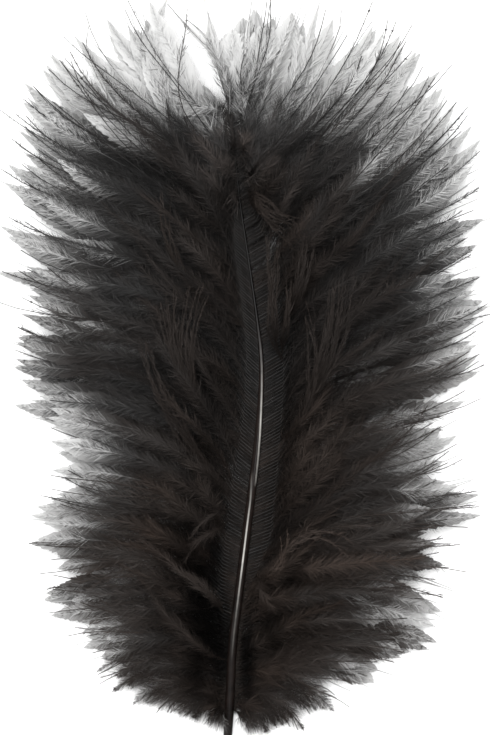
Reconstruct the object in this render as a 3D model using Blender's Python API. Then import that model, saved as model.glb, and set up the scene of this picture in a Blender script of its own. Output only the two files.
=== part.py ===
"""A down plume that lies flat: one curved shaft with soft down along both its sides.

It rests on the plane z = 0 with its grooved side up. The quill's end points to -Y and the
topmost down to +Y. Each side's down is one closed solid that reaches the tips of its tufts.
"""

import math

import bmesh
import bpy
from mathutils import Vector

MM = 0.001

# The shaft, in millimetres.
SHAFT_RINGS = 60
SHAFT_SIDES = 18
SHAFT_FLATNESS = 0.9
END_ROUNDING = 1.4
GROOVE_DEPTH = 0.42
GROOVE_HALF_WIDTH = 0.55
GROOVE_START_Y = -52.0
GROOVE_FULL_Y = -30.0
GROOVE_FADE_Y = -6.0
GROOVE_END_Y = 14.0

# Hand-placed points of the shaft's middle line: x, y, z and the width there, from the quill's
# end to the fine tip. The swelling at y = -59.6 is where the down begins.
SHAFT_ROUTE = [
    (-3.55, -70.6, 0.85, 1.45),
    (-3.2, -63.2, 1.0, 1.55),
    (-3.0, -59.6, 1.4, 1.75),
    (-2.75, -55.0, 2.0, 1.6),
    (-2.25, -46.1, 3.2, 1.65),
    (-0.9, -35.3, 4.6, 1.65),
    (0.45, -24.5, 5.8, 1.6),
    (2.0, -12.0, 6.8, 1.35),
    (2.8, -1.0, 7.2, 1.0),
    (2.8, 5.0, 7.2, 0.8),
    (2.1, 11.5, 7.0, 0.6),
    (0.6, 22.0, 6.4, 0.45),
    (-1.1, 33.5, 5.8, 0.35),
    (-2.6, 48.4, 5.0, 0.2),
]

# The down, in millimetres and degrees.
SHAFT_GAP = 0.3
WEB_WIDTH = 3.4
WEB_LONGEST_SHARE = 0.35
WEB_HALF_THICKNESS = 0.25
RIM_HEIGHT = 1.2
LAUNCH_ANGLE_LOW = 52.0
LAUNCH_ANGLE_TOP = 14.0
LAUNCH_TURN_START_Y = 5.0
LAUNCH_REACH = 0.35
ROWS_PER_TUFT = 4
SCALLOP_PULL = 0.13
SCALLOP_SINK = 0.2
COLUMN_SHARES = (0.0, 0.08, 0.18, 0.3, 0.42, 0.55, 0.68, 0.8, 0.91, 1.0)

# Hand-placed tufts of each side, from the quill up: the y where the tuft leaves the shaft, its
# tip's x and y, and how high its fluff swells.
LEFT_TUFTS = [
    (-58.0, -8.2, -60.8, 1.5),
    (-55.1, -17.2, -58.7, 3.0),
    (-51.5, -26.2, -54.7, 4.5),
    (-47.0, -31.2, -46.1, 5.5),
    (-41.6, -35.6, -38.0, 7.5),
    (-35.3, -39.7, -25.9, 9.0),
    (-28.1, -36.1, -15.5, 10.0),
    (-20.0, -37.9, -2.9, 10.0),
    (-11.9, -42.8, 6.5, 10.0),
    (-2.9, -41.0, 17.8, 10.0),
    (7.0, -43.8, 31.7, 10.0),
    (15.1, -43.8, 42.1, 9.0),
    (23.2, -40.2, 52.9, 8.5),
    (31.3, -29.8, 63.4, 7.5),
    (38.5, -19.9, 69.1, 6.0),
    (43.9, -11.7, 70.6, 5.5),
    (47.5, -4.6, 67.6, 5.0),
]
RIGHT_TUFTS = [
    (-58.0, 3.0, -62.8, 1.5),
    (-54.7, 11.6, -60.8, 3.0),
    (-51.1, 22.8, -55.1, 4.5),
    (-46.1, 32.9, -46.1, 5.5),
    (-38.9, 39.7, -34.4, 7.5),
    (-30.8, 42.9, -19.1, 9.0),
    (-21.8, 37.2, -7.4, 10.0),
    (-13.7, 42.2, 4.3, 10.0),
    (-3.8, 43.8, 17.3, 10.0),
    (6.1, 43.7, 34.9, 10.0),
    (15.1, 39.3, 49.3, 9.0),
    (23.2, 33.6, 56.2, 8.5),
    (30.4, 27.5, 64.1, 7.5),
    (37.1, 18.8, 68.8, 6.0),
    (42.1, 8.7, 70.6, 5.5),
    (47.2, -0.8, 70.2, 5.0),
]


def clear_scene():
    for item in list(bpy.data.objects):
        bpy.data.objects.remove(item, do_unlink=True)


def make_material(name, colour, roughness, metallic=0.0):
    material = bpy.data.materials.new(name)
    material.use_nodes = True
    shader = material.node_tree.nodes["Principled BSDF"]
    shader.inputs["Base Color"].default_value = (*colour, 1.0)
    shader.inputs["Roughness"].default_value = roughness
    shader.inputs["Metallic"].default_value = metallic
    return material


def make_object(name, mesh, material):
    mesh.materials.append(material)
    mesh.shade_smooth()
    piece = bpy.data.objects.new(name, mesh)
    bpy.context.scene.collection.objects.link(piece)
    return piece


def blend(start, end, share):
    return start + (end - start) * share


def ease(value, low, high):
    """0 below low, 1 above high and a smooth step between them."""
    share = min(max((value - low) / (high - low), 0.0), 1.0)
    return share * share * (3.0 - 2.0 * share)


def shaft_at(y):
    """The shaft's x, z and width at y, on a smooth curve through SHAFT_ROUTE."""
    last = len(SHAFT_ROUTE) - 1
    index = 0
    while index < last - 1 and SHAFT_ROUTE[index + 1][1] < y:
        index += 1
    before = SHAFT_ROUTE[max(index - 1, 0)]
    start = SHAFT_ROUTE[index]
    end = SHAFT_ROUTE[index + 1]
    after = SHAFT_ROUTE[min(index + 2, last)]
    span = end[1] - start[1]
    share = (y - start[1]) / span
    values = []
    for column in (0, 2, 3):
        slope_in = (end[column] - before[column]) / (end[1] - before[1]) * span
        slope_out = (after[column] - start[column]) / (after[1] - start[1]) * span
        rise = end[column] - start[column]
        curve = slope_in + share * (3.0 * rise - 2.0 * slope_in - slope_out)
        curve += share * share * (slope_in + slope_out - 2.0 * rise)
        values.append(start[column] + share * curve)
    return values


def shaft_side(y, side):
    """The point beside the shaft where a barb starts, clear of the shaft by the gap."""
    x, z, width = shaft_at(y)
    ahead = shaft_at(y + 0.1)[0]
    slope = (ahead - x) / 0.1
    away = (0.5 * width + SHAFT_GAP) / math.sqrt(1.0 + slope * slope)
    return Vector((x + side * away, y - side * slope * away, z))


def groove_share(y):
    """How deep the groove is at y, from 0 on the round quill to 1 along the middle."""
    return ease(y, GROOVE_START_Y, GROOVE_FULL_Y) * (1.0 - ease(y, GROOVE_FADE_Y, GROOVE_END_Y))


def shaft_ring(y, scale):
    """One cross-section of the shaft, across its direction, with the groove on top."""
    x, z, width = shaft_at(y)
    step = 0.2
    x_ahead, z_ahead, _ = shaft_at(y + step)
    along = Vector((x_ahead - x, step, z_ahead - z)).normalized()
    across = along.cross(Vector((0.0, 0.0, 1.0))).normalized()
    upward = across.cross(along)
    half_width = 0.5 * width * scale
    half_height = half_width * SHAFT_FLATNESS
    depth = GROOVE_DEPTH * half_height * groove_share(y)
    points = []
    for index in range(SHAFT_SIDES):
        angle = 2.0 * math.pi * index / SHAFT_SIDES
        sideways = math.cos(angle)
        height = half_height * math.sin(angle)
        if height > 0.0:
            nearness = max(0.0, 1.0 - abs(sideways) / GROOVE_HALF_WIDTH)
            height -= depth * nearness * nearness * (3.0 - 2.0 * nearness)
        point = Vector((x, y, z)) + across * (sideways * half_width) + upward * height
        points.append(point * MM)
    return points


def shaft_stations():
    """Ring positions as y and scale: close together on the rounded quill end, then even."""
    start = SHAFT_ROUTE[0][1]
    end = SHAFT_ROUTE[-1][1]
    stations = []
    for angle in (12.0, 35.0, 60.0, 90.0):
        turn = math.radians(angle)
        stations.append((start + END_ROUNDING * (1.0 - math.cos(turn)), math.sin(turn)))
    first_even = start + END_ROUNDING
    for index in range(1, SHAFT_RINGS + 1):
        stations.append((blend(first_even, end, index / SHAFT_RINGS), 1.0))
    return stations


def build_shaft():
    """The quill and shaft: rings across the middle line, joined and capped at both ends."""
    model = bmesh.new()
    rings = []
    for y, scale in shaft_stations():
        rings.append([model.verts.new(point) for point in shaft_ring(y, scale)])
    for lower, upper in zip(rings, rings[1:]):
        for index in range(SHAFT_SIDES):
            following = (index + 1) % SHAFT_SIDES
            model.faces.new((lower[index], lower[following], upper[following], upper[index]))
    model.faces.new(rings[0])
    model.faces.new(rings[-1])
    bmesh.ops.recalc_face_normals(model, faces=model.faces[:])
    mesh = bpy.data.meshes.new("shaft")
    model.to_mesh(mesh)
    model.free()
    return make_object("shaft", mesh, make_material("shaft_keratin", (0.045, 0.032, 0.026), 0.32))


def tuft_rows(tufts):
    """The rows of one side: root y, tip and crest, with the outline scalloped between tufts."""
    rows = []
    for lower, upper in zip(tufts, tufts[1:]):
        for step in range(ROWS_PER_TUFT):
            share = step / ROWS_PER_TUFT
            between = math.sin(math.pi * share) ** 2
            root_y, tip_x, tip_y, crest = (blend(a, b, share) for a, b in zip(lower, upper))
            rows.append((root_y, Vector((tip_x, tip_y)), crest * (1.0 - SCALLOP_SINK * between),
                         1.0 - SCALLOP_PULL * between))
    root_y, tip_x, tip_y, crest = tufts[-1]
    rows.append((root_y, Vector((tip_x, tip_y)), crest, 1.0))
    return rows


def row_points(row, side):
    """The upper and lower points of one row, from beside the shaft out to the tip."""
    root_y, tip, crest, reach = row
    root = shaft_side(root_y, side)
    start = root.to_2d()
    end = start + (tip - start) * reach
    length = (end - start).length
    turn = ease(root_y, LAUNCH_TURN_START_Y, SHAFT_ROUTE[-1][1])
    launch = math.radians(blend(LAUNCH_ANGLE_LOW, LAUNCH_ANGLE_TOP, turn))
    control = start + Vector((side * math.sin(launch), math.cos(launch))) * (LAUNCH_REACH * length)
    web_share = min(WEB_WIDTH / length, WEB_LONGEST_SHARE)
    upper = [(start.x, start.y, root.z + WEB_HALF_THICKNESS)]
    lower = [(start.x, start.y, root.z - WEB_HALF_THICKNESS)]
    for share in COLUMN_SHARES:
        along = blend(web_share, 1.0, share)
        place = start.lerp(control, along).lerp(control.lerp(end, along), along)
        height = (root.z + WEB_HALF_THICKNESS) * (1.0 - share) ** 1.5 + RIM_HEIGHT * share
        height += crest * math.sin(math.pi * share ** 0.8)
        upper.append((place.x, place.y, height))
        lower.append((place.x, place.y, 0.0))
    return upper, lower


def build_down(name, tufts, side):
    """One side's down: a domed upper surface over a flat underside, closed all round."""
    model = bmesh.new()
    upper_rows = []
    lower_rows = []
    for row in tuft_rows(tufts):
        upper, lower = row_points(row, side)
        upper_rows.append([model.verts.new(Vector(point) * MM) for point in upper])
        lower_rows.append([model.verts.new(Vector(point) * MM) for point in lower])
    columns = len(upper_rows[0])
    last = len(upper_rows) - 1
    for index in range(last):
        for column in range(columns - 1):
            for rows in (upper_rows, lower_rows):
                model.faces.new((rows[index][column], rows[index][column + 1],
                                 rows[index + 1][column + 1], rows[index + 1][column]))
        for column in (0, columns - 1):
            model.faces.new((upper_rows[index][column], upper_rows[index + 1][column],
                             lower_rows[index + 1][column], lower_rows[index][column]))
    for index in (0, last):
        for column in range(columns - 1):
            model.faces.new((upper_rows[index][column], upper_rows[index][column + 1],
                             lower_rows[index][column + 1], lower_rows[index][column]))
    bmesh.ops.recalc_face_normals(model, faces=model.faces[:])
    mesh = bpy.data.meshes.new(name)
    model.to_mesh(mesh)
    model.free()
    return make_object(name, mesh, make_material(name + "_barbs", (0.02, 0.017, 0.016), 0.85))


def build_plume():
    clear_scene()
    build_shaft()
    build_down("down_left", LEFT_TUFTS, -1.0)
    build_down("down_right", RIGHT_TUFTS, 1.0)


build_plume()
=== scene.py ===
# %% [markdown]
# # A down plume, grown barb by barb
#
# A down feather is one branching thing. A shaft carries hundreds of soft barbs on each side, and
# every barb carries hundreds of barbules, which are finer than a hair. The fluff that we see is
# nothing but those barbules, so this lesson makes them as real geometry instead of painting them
# on a smooth pillow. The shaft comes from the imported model, where it already has its true shape.

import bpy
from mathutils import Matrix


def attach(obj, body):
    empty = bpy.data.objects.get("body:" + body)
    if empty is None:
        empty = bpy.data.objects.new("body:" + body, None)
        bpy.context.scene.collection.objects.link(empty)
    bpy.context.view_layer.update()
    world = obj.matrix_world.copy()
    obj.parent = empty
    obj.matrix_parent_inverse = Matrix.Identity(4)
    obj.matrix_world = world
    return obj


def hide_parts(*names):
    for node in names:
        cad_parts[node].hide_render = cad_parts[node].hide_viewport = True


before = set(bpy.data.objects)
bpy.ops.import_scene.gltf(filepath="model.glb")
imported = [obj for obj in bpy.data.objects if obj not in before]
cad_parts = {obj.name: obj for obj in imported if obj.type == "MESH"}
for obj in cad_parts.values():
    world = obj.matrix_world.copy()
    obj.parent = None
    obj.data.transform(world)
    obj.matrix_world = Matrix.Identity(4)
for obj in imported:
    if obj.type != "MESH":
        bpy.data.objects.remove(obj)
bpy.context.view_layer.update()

# %% [markdown]
# ## Units and a few small tools
#
# A feather is easiest to think about in millimetres, so every size below is in millimetres and
# each mesh is turned into metres at the end. The tools are a smooth step, which eases from 0 to 1
# without a corner, and a helper that makes vectors one unit long.

# %% Small tools
import math

import bpy
import numpy as np

MM = 0.001
rng = np.random.default_rng(20)


def smooth_step(value, low, high):
    share = np.clip((value - low) / (high - low), 0.0, 1.0)
    return share * share * (3.0 - 2.0 * share)


def unit(vectors):
    return vectors / np.maximum(np.linalg.norm(vectors, axis=-1, keepdims=True), 1e-9)


# %% [markdown]
# ## The shaft's line
#
# Every barb starts on the shaft, so the first thing to know is where the shaft runs. It is
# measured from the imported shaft: its points near a given y give the middle, the half width and
# the height there. Measuring keeps the down on the shaft even if the shaft changes later.

# %% Measure the shaft
SLICE_HALF = 1.3
SLICES = 59
MEASURED_FROM, MEASURED_TO = -69.0, 47.0
shaft_cloud = np.array([v.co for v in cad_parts["shaft"].data.vertices]) / MM
shaft_rows = []
for y in np.linspace(MEASURED_FROM, MEASURED_TO, SLICES):
    near = shaft_cloud[np.abs(shaft_cloud[:, 1] - y) < SLICE_HALF]
    low, high = near.min(axis=0), near.max(axis=0)
    middle, half = 0.5 * (low + high), 0.5 * (high - low)
    shaft_rows.append((y, middle[0], middle[2], half[0]))
shaft_rows = np.array(shaft_rows)


def shaft_at(y):
    """The shaft's x, z and half width at each y."""
    return [np.interp(y, shaft_rows[:, 0], shaft_rows[:, column]) for column in (1, 2, 3)]


print("shaft middle at y = 0:", [round(float(v), 2) for v in shaft_at(0.0)])

# %% [markdown]
# ## Key barbs
#
# A plume has an outline and a flow, and a few given barbs settle both. Each key barb
# says where it leaves the shaft (y), where its tip lies (x and y), which way the tip points, which
# way the barb sets out beside the shaft, and at what share of its length the plume stops being
# dark. Both directions are degrees above the horizontal, counted outwards. All the other barbs
# are mixed from their two nearest key barbs.

# %% Key barbs of each side
LEFT_KEYS = np.array([
    (-58.9, -4.4, -61.2, -65.0, -30.0, 0.5),
    (-58.0, -8.2, -60.8, -55.0, -10.0, 0.98),
    (-55.1, -17.2, -58.7, -45.0, 0.0, 0.76),
    (-51.5, -26.2, -54.7, -35.0, 12.0, 0.95),
    (-47.0, -31.2, -46.1, -15.0, 25.0, 0.65),
    (-41.6, -36.6, -38.0, -8.0, 38.0, 0.73),
    (-38.5, -35.0, -32.5, -4.0, 44.0, 0.8),
    (-35.3, -40.5, -25.9, 0.0, 50.0, 0.65),
    (-31.5, -35.0, -19.5, 6.0, 55.0, 0.7),
    (-28.1, -35.4, -13.5, 10.0, 58.0, 0.6),
    (-20.0, -37.9, -2.9, 15.0, 62.0, 0.68),
    (-11.9, -42.8, 6.5, 20.0, 62.0, 0.83),
    (-2.9, -41.0, 17.8, 25.0, 62.0, 0.76),
    (7.0, -43.8, 31.7, 30.0, 62.0, 0.69),
    (15.1, -43.8, 42.1, 38.0, 62.0, 0.68),
    (23.2, -40.2, 52.9, 45.0, 66.0, 0.66),
    (31.3, -29.8, 63.4, 58.0, 72.0, 0.42),
    (38.5, -19.9, 69.1, 70.0, 72.0, 0.14),
    (42.4, -18.4, 62.8, 84.0, 68.0, 0.1),
    (45.6, -15.4, 55.2, 92.0, 70.0, 0.08),
    (47.5, -10.4, 51.4, 94.0, 80.0, 0.4),
])
RIGHT_KEYS = np.array([
    (-58.9, 0.8, -62.2, -75.0, -40.0, 0.5),
    (-58.0, 3.0, -62.8, -70.0, -15.0, 0.98),
    (-54.7, 11.6, -61.2, -50.0, -5.0, 1.0),
    (-51.1, 22.8, -55.1, -35.0, 8.0, 0.67),
    (-46.1, 33.6, -46.1, -12.0, 22.0, 0.88),
    (-42.5, 33.0, -40.2, -12.0, 30.0, 0.58),
    (-38.9, 40.2, -34.4, -14.0, 36.0, 0.85),
    (-35.0, 37.0, -26.8, 2.0, 43.0, 0.96),
    (-30.8, 43.4, -19.1, 18.0, 50.0, 0.7),
    (-21.8, 37.2, -7.4, 35.0, 58.0, 0.61),
    (-13.7, 42.2, 4.3, 30.0, 60.0, 0.68),
    (-3.8, 43.8, 17.3, 15.0, 60.0, 0.74),
    (1.2, 41.3, 26.0, 20.0, 60.0, 0.79),
    (6.1, 43.7, 34.9, 25.0, 60.0, 0.74),
    (15.1, 39.3, 49.3, 55.0, 62.0, 0.62),
    (23.2, 33.6, 56.2, 58.0, 66.0, 0.52),
    (30.4, 27.5, 64.1, 60.0, 70.0, 0.44),
    (34.5, 17.0, 63.5, 66.0, 74.0, 0.36),
    (37.1, 10.5, 68.5, 76.0, 78.0, 0.33),
    (42.1, 3.0, 69.0, 86.0, 86.0, 0.2),
    (47.2, -3.4, 63.2, 94.0, 90.0, 0.1),
])

# %% [markdown]
# ## Outer, body, cover and under barbs
#
# Not every barb reaches the outline. Two in five do, and their ends are the thin grey leaves of
# the fringe. Body barbs stop well inside and make the plume's dark mass. Cover barbs lie on top,
# are shorter and lean towards the plume's own tip: their ends are the soft brown fans inside.
# Under barbs stay low and close the view below the shaft. The kinds come in a fixed pattern, and
# the roots stand in even ribs, closer together where their tips have much outline to fill.

# %% Kinds of barb, and their places on the shaft
BARBS_PER_SIDE = 420
BODY, OUTER, COVER, UNDER = 0, 1, 2, 3
PATTERN = (OUTER, BODY, OUTER, COVER, BODY, OUTER, UNDER, BODY, OUTER, UNDER)
RIB_GAP = 0.6
CROWD_BY_SHAFT, CROWD_BY_OUTLINE = 0.38, 0.62


def root_places(keys):
    """Roots crowd where their barbs spread over a long piece of the outline, and share even ribs."""
    on_shaft = np.diff(keys[:, 0])
    on_outline = np.linalg.norm(np.diff(keys[:, 1:3], axis=0), axis=1)
    crowd = CROWD_BY_SHAFT * on_shaft / on_shaft.sum()
    crowd += CROWD_BY_OUTLINE * on_outline / on_outline.sum()
    place = (np.arange(BARBS_PER_SIDE) + rng.uniform(0.2, 0.8, BARBS_PER_SIDE)) / BARBS_PER_SIDE
    places = np.interp(place, np.concatenate([[0.0], np.cumsum(crowd)]), keys[:, 0])
    return RIB_GAP * np.round(places / RIB_GAP)


def by_kind(kind, body, outer, cover, under):
    """For each barb, the value that goes with its kind."""
    tests = [kind == BODY, kind == OUTER, kind == COVER, kind == UNDER]
    return np.select(tests, [body, outer, cover, under])


# %% [markdown]
# ## Tufts, lengths, leans and layers
#
# Neighbours cling together by their barbules, so lengths and leans are shared in tufts of five to
# nine barbs, more strongly near the quill. On top of that every barb has a little of its own. One
# outer barb in eight is bare: it has lost its barbules and sticks out as a dark line. Each barb
# also gets a layer, from 0 at the bottom of the plume to 1 on top. NumPy holds one array for each
# of these facts, so a single line of code sets a fact for all the barbs of a side.

# %% Plan every barb of a side
TUFT_SIZES = (5, 10)
BARE_SHARE = 0.13
TOP = (20.0, 38.0)
ALL_OUTER_ABOVE = 42.0
USUAL_DARK = 0.7


def plan_barbs(keys, side):
    """One value for each barb of a side in every array."""
    count = BARBS_PER_SIDE
    root_y = root_places(keys)
    kind = np.resize(PATTERN, count)
    kind = np.where((root_y > ALL_OUTER_ABOVE) & (kind != UNDER), OUTER, kind)
    tuft = np.cumsum(np.isin(np.arange(count), np.cumsum(rng.integers(*TUFT_SIZES, count))))
    tufts = tuft.max() + 1

    def shared(low, high):
        return rng.uniform(low, high, tufts)[tuft]

    def alone(low, high):
        return rng.uniform(low, high, count)

    parted = 0.3 + 0.7 * smooth_step(-root_y, -5.0, 40.0)
    centre_y = np.array([root_y[tuft == index].mean() for index in range(tufts)])[tuft]
    mixed = root_y + (centre_y - root_y) * 0.4 * parted * by_kind(kind, 0.4, 0.1, 1.0, 0.0)
    tip_x, tip_y, heading, sweep, dark = (
        np.interp(mixed, keys[:, 0], keys[:, c]) for c in range(1, 6))
    top = smooth_step(root_y, *TOP)
    dark_length = dark / USUAL_DARK * (1.0 - 0.25 * top)
    ragged = 1.0 + 1.6 * top
    body_length = np.clip(dark_length * (0.98 + 0.3 * ragged * alone(-1.0, 1.0)), 0.05, 1.0)
    cover_length = dark_length * shared(0.45, 0.9) * alone(0.85, 1.1)
    bare = (kind == OUTER) & (alone(0.0, 1.0) < BARE_SHARE)
    outer_length = np.where(bare, alone(0.98, 1.09), alone(0.92, 1.05))
    under_length = np.maximum(dark, 0.25 - 0.15 * top) * alone(0.3, 1.1)
    length_share = by_kind(kind, body_length, outer_length, cover_length, under_length)
    length_share *= 1.0 - 0.05 * shared(0.0, 1.0) * parted
    lean = rng.normal(0.0, 4.0, tufts)[tuft] * parted * by_kind(kind, 0.5, 0.25, 1.0, 0.0)
    lean += rng.normal(0.0, 1.0, count) * by_kind(kind, 4.0, 3.0, 5.0, 8.0)
    upright = by_kind(kind, alone(0.0, 0.3), 0.0, shared(0.3, 1.0), alone(0.3, 1.15))
    body_layer, outer_layer = alone(0.2, 0.75), np.where(bare, 0.6, alone(0.0, 0.5))
    layer = by_kind(kind, body_layer, outer_layer, shared(0.65, 1.0), 0.0)
    bare_reach, full_reach = alone(0.04, 0.2), alone(0.85, 1.12)
    reach = np.where(bare, bare_reach, full_reach * by_kind(kind, 1.0, 1.1, 1.0, 1.15))
    return {
        "side": side, "count": count, "top": top, "tuft": tuft, "root_y": root_y,
        "kind": kind, "layer": layer, "tip": np.stack([tip_x, tip_y], axis=1),
        "heading": heading, "sweep": sweep, "length_share": length_share, "lean": lean,
        "upright": upright, "dark": dark, "reach": reach,
    }


plans = {"left": plan_barbs(LEFT_KEYS, -1.0), "right": plan_barbs(RIGHT_KEYS, 1.0)}
for name, plan in plans.items():
    print(name, "has", np.bincount(plan["kind"]).tolist(), "body, outer, cover and under barbs")

# %% [markdown]
# ## Strays
#
# Handling has laid some barbs across the others, and these strays are what the eye finds first:
# a pale pair that crosses low on the left, a hook on the right, a dark wick and a twisted strand
# near the top, and brown fans inside. Each is drawn: the y of its root, both handles of
# its curve, its tip and its height, then the share of its length at which it surfaces, the reach
# of its barbules, its warmth and its lightness.

# %% Draw the strays
LEFT_STRAYS = np.array([
    (-42.0, -5.5, -37.5, -11.0, -32.0, -19.5, -28.0, 11.0, 0.25, 0.75, 0.7, 0.54),
    (-41.5, -6.0, -37.0, -11.5, -32.5, -17.5, -30.0, 11.0, 0.25, 0.68, 0.7, 0.5),
    (-50.0, -8.0, -49.0, -13.5, -43.0, -19.5, -33.0, 9.0, 0.35, 0.85, 0.8, 0.42),
    (-24.0, -6.3, -23.2, -8.0, -25.0, -10.3, -27.2, 10.5, 0.25, 0.6, 0.6, 0.47),
    (-26.0, -6.5, -27.0, -9.0, -28.0, -11.5, -31.5, 10.0, 0.25, 0.7, 0.7, 0.41),
    (41.5, -1.4, 42.8, -2.2, 44.5, -3.0, 48.6, 10.5, 0.3, 0.25, 0.3, 0.36),
    (41.0, -1.0, 42.6, -1.9, 44.5, -2.4, 48.0, 11.0, 0.3, 0.25, 0.3, 0.36),
    (41.2, -1.6, 42.0, -2.6, 44.0, -3.4, 47.0, 10.0, 0.3, 0.25, 0.3, 0.36),
    (41.8, -0.8, 43.0, -1.2, 45.0, -1.6, 48.0, 10.0, 0.3, 0.25, 0.3, 0.36),
    (42.4, -0.4, 44.0, -0.8, 46.0, -1.8, 49.5, 9.0, 0.3, 0.25, 0.3, 0.36),
])
RIGHT_STRAYS = np.array([
    (-38.0, 7.5, -29.0, 13.0, -22.0, 18.5, -31.0, 11.5, 0.4, 0.4, 0.7, 0.66),
    (-37.0, 8.0, -28.5, 14.0, -22.5, 19.5, -28.5, 11.0, 0.4, 0.4, 0.7, 0.62),
    (-34.0, 2.2, -37.0, 3.4, -39.5, 5.8, -40.4, 10.0, 0.3, 0.9, 0.7, 0.47),
    (-37.0, 4.0, -35.0, 7.0, -32.0, 6.0, -27.2, 10.5, 0.5, 0.29, 0.9, 0.62),
    (-36.8, 4.2, -35.0, 7.6, -32.0, 7.1, -26.6, 11.0, 0.5, 0.29, 0.9, 0.66),
    (-36.4, 4.5, -35.0, 8.2, -32.0, 8.2, -27.4, 10.5, 0.5, 0.29, 0.9, 0.6),
    (34.8, -0.4, 35.8, 0.6, 36.6, 1.9, 37.8, 12.0, 0.25, 0.25, 0.2, 0.62),
])

# %% [markdown]
# Some strays come as fans: a barb lies upside down and its barbules stand side by side like the
# teeth of a comb. A fan is given by its first and last line, with their number in front, and the
# lines between are mixed from those two.

# %% Draw the fans
LEFT_FANS = np.array([
    (6, 34.8, -1.5, 34.6, -2.8, 33.6, -4.0, 32.2, 10.5, 0.25, 0.3, 0.2, 0.51),
    (6, 33.2, -1.2, 32.2, -1.8, 31.2, -2.4, 29.2, 10.5, 0.25, 0.3, 0.2, 0.46),
    (13, -13.8, -9.0, -6.0, -13.4, 4.0, -15.8, 14.2, 12.0, 0.75, 0.36, 0.6, 0.41),
    (13, -11.0, -9.0, -7.0, -13.0, 4.0, -6.4, 16.7, 12.5, 0.72, 0.36, 0.6, 0.41),
    (7, -22.0, -10.0, -13.0, -18.0, -1.0, -19.7, 7.4, 11.5, 0.8, 0.36, 0.6, 0.45),
    (7, -21.0, -10.0, -12.0, -15.5, -1.0, -16.4, 5.8, 12.0, 0.8, 0.36, 0.6, 0.41),
    (5, 8.0, -9.0, 13.0, -14.5, 22.0, -13.6, 33.4, 11.5, 0.7, 0.36, 0.6, 0.36),
    (5, 9.0, -9.0, 14.0, -15.2, 23.0, -15.6, 31.0, 11.0, 0.7, 0.36, 0.6, 0.33),
])
RIGHT_FANS = np.array([
    (15, -14.0, 10.0, -6.0, 16.0, 6.0, 14.3, 16.4, 12.8, 0.75, 0.36, 0.55, 0.41),
    (15, -12.8, 10.0, -7.0, 17.0, 5.0, 20.0, 15.4, 12.5, 0.75, 0.36, 0.55, 0.41),
    (3, -16.0, 9.0, -10.0, 14.5, 1.0, 10.4, 13.0, 12.0, 0.7, 0.36, 0.55, 0.37),
    (3, -15.6, 9.0, -10.0, 14.8, 1.0, 11.6, 12.2, 12.0, 0.7, 0.36, 0.55, 0.35),
    (5, 2.0, 4.5, 6.0, 4.0, 14.0, 3.5, 25.9, 11.0, 0.55, 0.36, 0.45, 0.38),
    (5, 2.6, 5.0, 6.5, 5.2, 14.0, 5.2, 24.0, 11.0, 0.55, 0.36, 0.45, 0.35),
    (7, 8.0, 7.0, 12.0, 10.8, 18.0, 9.8, 25.4, 11.5, 0.65, 0.36, 0.4, 0.37),
    (7, 8.6, 7.5, 12.0, 12.0, 18.0, 12.6, 25.6, 11.5, 0.65, 0.36, 0.4, 0.35),
    (4, 3.2, 6.0, 7.0, 8.0, 12.0, 6.9, 17.0, 11.5, 0.6, 0.36, 0.5, 0.37),
    (4, 3.6, 6.2, 7.0, 8.2, 12.0, 8.1, 17.4, 11.5, 0.6, 0.36, 0.5, 0.35),
    (8, 34.8, 2.5, 33.2, 6.0, 31.2, 9.8, 28.6, 11.4, 0.25, 0.2, 0.5, 0.43),
    (8, 32.0, 2.5, 30.2, 5.6, 27.8, 8.2, 25.2, 11.2, 0.25, 0.2, 0.5, 0.37),
    (4, 36.6, 2.2, 38.6, 3.9, 41.0, 7.8, 46.2, 11.8, 0.3, 0.2, 0.3, 0.21),
    (4, 36.0, 2.6, 38.2, 4.4, 41.0, 8.2, 45.8, 11.8, 0.3, 0.2, 0.3, 0.21),
])


def fan_lines(fans):
    """Every line of the fans, each a little out of place as nothing combed them."""
    lines = []
    for first, last in zip(fans[::2], fans[1::2]):
        share = np.linspace(0.0, 1.0, int(first[0]))[:, None]
        rows = first[1:] * (1.0 - share) + last[1:] * share
        rows[:, 5:7] += rng.normal(0.0, 0.25, (len(rows), 2))
        rows[:, 6] += rng.uniform(-1.2, 0.6, len(rows)) + 2.0 * np.sin(math.pi * share[:, 0])
        lines.append(rows)
    return np.concatenate(lines)


print("strands in the fans:", int(LEFT_FANS[::2, 0].sum() + RIGHT_FANS[::2, 0].sum()))
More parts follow.
